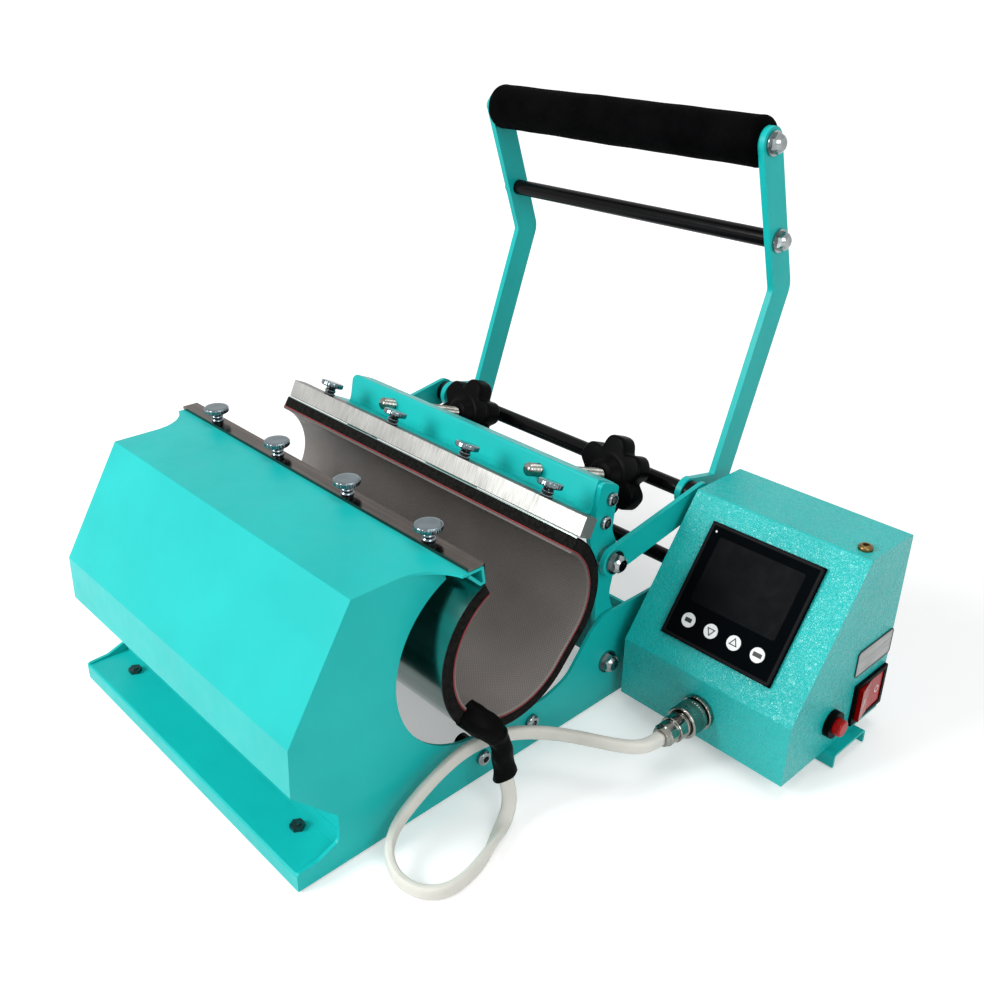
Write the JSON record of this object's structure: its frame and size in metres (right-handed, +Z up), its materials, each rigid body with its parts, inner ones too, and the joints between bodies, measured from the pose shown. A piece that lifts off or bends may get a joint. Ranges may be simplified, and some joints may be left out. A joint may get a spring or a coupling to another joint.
{
  "type": "tumbler heat press",
  "caption": "Tumbler heat press: a wrap-around heater between a fixed sheet-metal hood and a hinged jaw, closed by a two-armed handle, with a control box at its right",
  "frame": {"origin": "centre of the bottom of the press as it stands, handle open, leaving out its free cable and plug", "axes": "+X along the heater towards the control box, +Y to the rear where the handle stands open, +Z up"},
  "size_m": [0.3774, 0.3761, 0.3283],
  "materials": {
    "teal_paint": "gloss teal powder coat",
    "teal_texture": "teal hammered powder coat",
    "white_steel": "brushed",
    "zinc_steel": "zinc plated",
    "gloss_shell": "dark high-gloss sheet",
    "strip_steel": "brushed",
    "brass_screw": "plated",
    "black_rod": "black oxide",
    "black_foam": "closed-cell foam",
    "black_rubber": "moulded",
    "black_plastic": "moulded phenolic",
    "heater_foam": "silicone sponge",
    "heater_mat": "silicone-coated glass cloth",
    "white_silicone": "silicone jacket",
    "panel_face": "printed membrane",
    "key_white": "moulded",
    "red_plastic": "moulded",
    "board_green": "solder mask"
  },
  "bodies": {
    "frame": {"base_plate": "teal_paint", "front_hood": "teal_paint", "side_plate_right": "teal_paint", "side_plate_left": "teal_paint", "rear_cross_plate": "teal_paint", "frame_rods": "black_rod", "frame_bolts": "zinc_steel", "pivot_bolts": "zinc_steel", "support_channel": "teal_paint", "rubber_feet": "black_rubber", "foot_screws": "zinc_steel", "front_clamp_strip": "strip_steel", "heater_shell": "gloss_shell", "heater_foam": "heater_foam", "heating_mat": "heater_mat", "box_shell": "teal_texture", "box_floor": "teal_texture", "box_screws": "brass_screw", "controller": "panel_face", "cable_socket": "zinc_steel", "cable_plug": "zinc_steel", "heater_cable": "white_silicone", "cable_sleeve": "black_rubber", "switch_housing": "black_plastic", "reset_breaker": "black_plastic", "power_inlet": "black_plastic", "circuit_board": "board_green"},
    "jaw": {"rear_clamp_bar": "white_steel", "jaw_channel": "teal_paint", "jaw_bracket_right": "teal_paint", "jaw_bracket_left": "teal_paint", "jaw_screws": "zinc_steel", "link_bolts": "zinc_steel"},
    "handle": {"handle_arm_right": "teal_paint", "handle_arm_left": "teal_paint", "link_rod": "black_rod", "grip_tube": "zinc_steel", "grip_foam": "black_foam", "spacer_rod": "black_rod", "handle_bolts": "zinc_steel"},
    "link_right": {"link_right": "teal_paint"},
    "link_left": {"link_left": "teal_paint"},
    "knob_right": {"star_knob_right": "black_plastic"},
    "knob_left": {"star_knob_left": "black_plastic"},
    "rocker": {"rocker": "red_plastic"},
    "reset_button": {"reset_button": "red_plastic"},
    "plug_ring": {"plug_ring": "zinc_steel"},
    "front_thumbscrew_1": {"front_thumbscrew_1": "zinc_steel"},
    "front_thumbscrew_2": {"front_thumbscrew_2": "zinc_steel"},
    "front_thumbscrew_3": {"front_thumbscrew_3": "zinc_steel"},
    "front_thumbscrew_4": {"front_thumbscrew_4": "zinc_steel"},
    "rear_thumbscrew_1": {"rear_thumbscrew_1": "zinc_steel"},
    "rear_thumbscrew_2": {"rear_thumbscrew_2": "zinc_steel"},
    "rear_thumbscrew_3": {"rear_thumbscrew_3": "zinc_steel"},
    "rear_thumbscrew_4": {"rear_thumbscrew_4": "zinc_steel"},
    "panel_key_1": {"panel_key_1": "key_white"},
    "panel_key_2": {"panel_key_2": "key_white"},
    "panel_key_3": {"panel_key_3": "key_white"},
    "panel_key_4": {"panel_key_4": "key_white"}
  },
  "joints": [
    {"name": "handle_hinge", "type": "hinge", "parent": "frame", "child": "handle", "pos_m": [-0.0559, 0.12085, 0.09], "axis": [1, 0, 0], "range_deg": [0, 45]},
    {"name": "jaw_hinge", "type": "hinge", "parent": "frame", "child": "jaw", "pos_m": [-0.0559, 0.03205, 0.0294], "axis": [1, 0, 0], "range_deg": [0, 12.5], "deforming": ["heater_shell", "heater_foam", "heating_mat"]},
    {"name": "link_right_pivot", "type": "hinge", "parent": "jaw", "child": "link_right", "pos_m": [0.0621, 0.02705, 0.1017], "axis": [1, 0, 0], "range_deg": [-24, 0]},
    {"name": "link_left_pivot", "type": "hinge", "parent": "jaw", "child": "link_left", "pos_m": [-0.1739, 0.02705, 0.1017], "axis": [1, 0, 0], "range_deg": [-24, 0]},
    {"name": "knob_right_turn", "type": "hinge", "parent": "jaw", "child": "knob_right", "pos_m": [0.0106, 0.0181, 0.14264], "axis": [0, 0.9367, -0.3502], "continuous": true},
    {"name": "knob_left_turn", "type": "hinge", "parent": "jaw", "child": "knob_left", "pos_m": [-0.1224, 0.0181, 0.14264], "axis": [0, 0.9367, -0.3502], "continuous": true},
    {"name": "front_thumbscrew_1_turn", "type": "hinge", "parent": "frame", "child": "front_thumbscrew_1", "pos_m": [-0.1549, -0.08995, 0.1517], "axis": [0, 0, 1], "continuous": true},
    {"name": "front_thumbscrew_2_turn", "type": "hinge", "parent": "frame", "child": "front_thumbscrew_2", "pos_m": [-0.0889, -0.08995, 0.1517], "axis": [0, 0, 1], "continuous": true},
    {"name": "front_thumbscrew_3_turn", "type": "hinge", "parent": "frame", "child": "front_thumbscrew_3", "pos_m": [-0.0229, -0.08995, 0.1517], "axis": [0, 0, 1], "continuous": true},
    {"name": "front_thumbscrew_4_turn", "type": "hinge", "parent": "frame", "child": "front_thumbscrew_4", "pos_m": [0.0431, -0.08995, 0.1517], "axis": [0, 0, 1], "continuous": true},
    {"name": "rear_thumbscrew_1_turn", "type": "hinge", "parent": "jaw", "child": "rear_thumbscrew_1", "pos_m": [-0.1549, -0.00863, 0.14715], "axis": [0, 0.4384, 0.8988], "continuous": true},
    {"name": "rear_thumbscrew_2_turn", "type": "hinge", "parent": "jaw", "child": "rear_thumbscrew_2", "pos_m": [-0.0889, -0.00863, 0.14715], "axis": [0, 0.4384, 0.8988], "continuous": true},
    {"name": "rear_thumbscrew_3_turn", "type": "hinge", "parent": "jaw", "child": "rear_thumbscrew_3", "pos_m": [-0.0229, -0.00863, 0.14715], "axis": [0, 0.4384, 0.8988], "continuous": true},
    {"name": "rear_thumbscrew_4_turn", "type": "hinge", "parent": "jaw", "child": "rear_thumbscrew_4", "pos_m": [0.0431, -0.00863, 0.14715], "axis": [0, 0.4384, 0.8988], "continuous": true},
    {"name": "switch_rock", "type": "hinge", "parent": "frame", "child": "rocker", "pos_m": [0.1787, 0.11885, 0.029], "axis": [0, 0, 1], "range_deg": [0, 9]},
    {"name": "reset_push", "type": "slide", "parent": "frame", "child": "reset_button", "axis": [-1, 0, 0], "range_m": [0, 0.0015], "stiffness_N_per_m": 800},
    {"name": "panel_key_1_press", "type": "slide", "parent": "frame", "child": "panel_key_1", "axis": [0, 0.8083, -0.5887], "range_m": [0, 0.0008], "stiffness_N_per_m": 500},
    {"name": "panel_key_2_press", "type": "slide", "parent": "frame", "child": "panel_key_2", "axis": [0, 0.8083, -0.5887], "range_m": [0, 0.0008], "stiffness_N_per_m": 500},
    {"name": "panel_key_3_press", "type": "slide", "parent": "frame", "child": "panel_key_3", "axis": [0, 0.8083, -0.5887], "range_m": [0, 0.0008], "stiffness_N_per_m": 500},
    {"name": "panel_key_4_press", "type": "slide", "parent": "frame", "child": "panel_key_4", "axis": [0, 0.8083, -0.5887], "range_m": [0, 0.0008], "stiffness_N_per_m": 500},
    {"name": "plug_ring_turn", "type": "hinge", "parent": "frame", "child": "plug_ring", "pos_m": [0.1241, 0.02985, 0.028], "axis": [0, -1, 0], "continuous": true}
  ],
  "couplings": [
    {"joint": "jaw_hinge", "follows": "handle_hinge", "ratio": 0.274},
    {"joint": "link_right_pivot", "follows": "handle_hinge", "ratio": -0.522},
    {"joint": "link_left_pivot", "follows": "handle_hinge", "ratio": -0.522}
  ]
}
